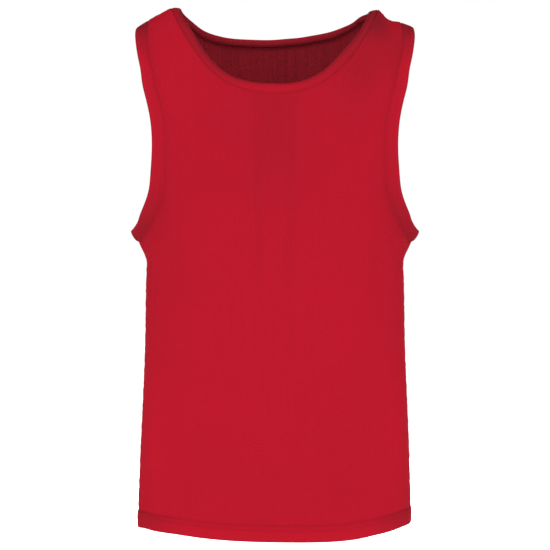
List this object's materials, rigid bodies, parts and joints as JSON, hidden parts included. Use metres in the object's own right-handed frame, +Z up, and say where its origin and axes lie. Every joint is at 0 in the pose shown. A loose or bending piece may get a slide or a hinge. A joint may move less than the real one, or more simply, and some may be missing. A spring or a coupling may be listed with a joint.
{
  "type": "mesh training bib",
  "caption": "Sleeveless mesh training bib, filled out and hollow, with a round neck, wide armholes, rib bands and a turned-up hem.",
  "frame": {"origin": "midway between the two neck ends of the shoulder seams, where the garment hangs from a wearer's shoulders", "axes": "+X to the right as the front is seen, the front faces -Y, +Z up"},
  "size_m": [0.3718, 0.2316, 0.6815],
  "materials": {
    "eyelet_knit": "matt red polyester knit with small open holes",
    "rib_band": "matt red folded rib"
  },
  "bodies": {
    "root": {"front_panel": "eyelet_knit", "back_panel": "eyelet_knit", "neck_band": "rib_band", "armhole_band_left": "rib_band", "armhole_band_right": "rib_band"}
  },
  "joints": []
}
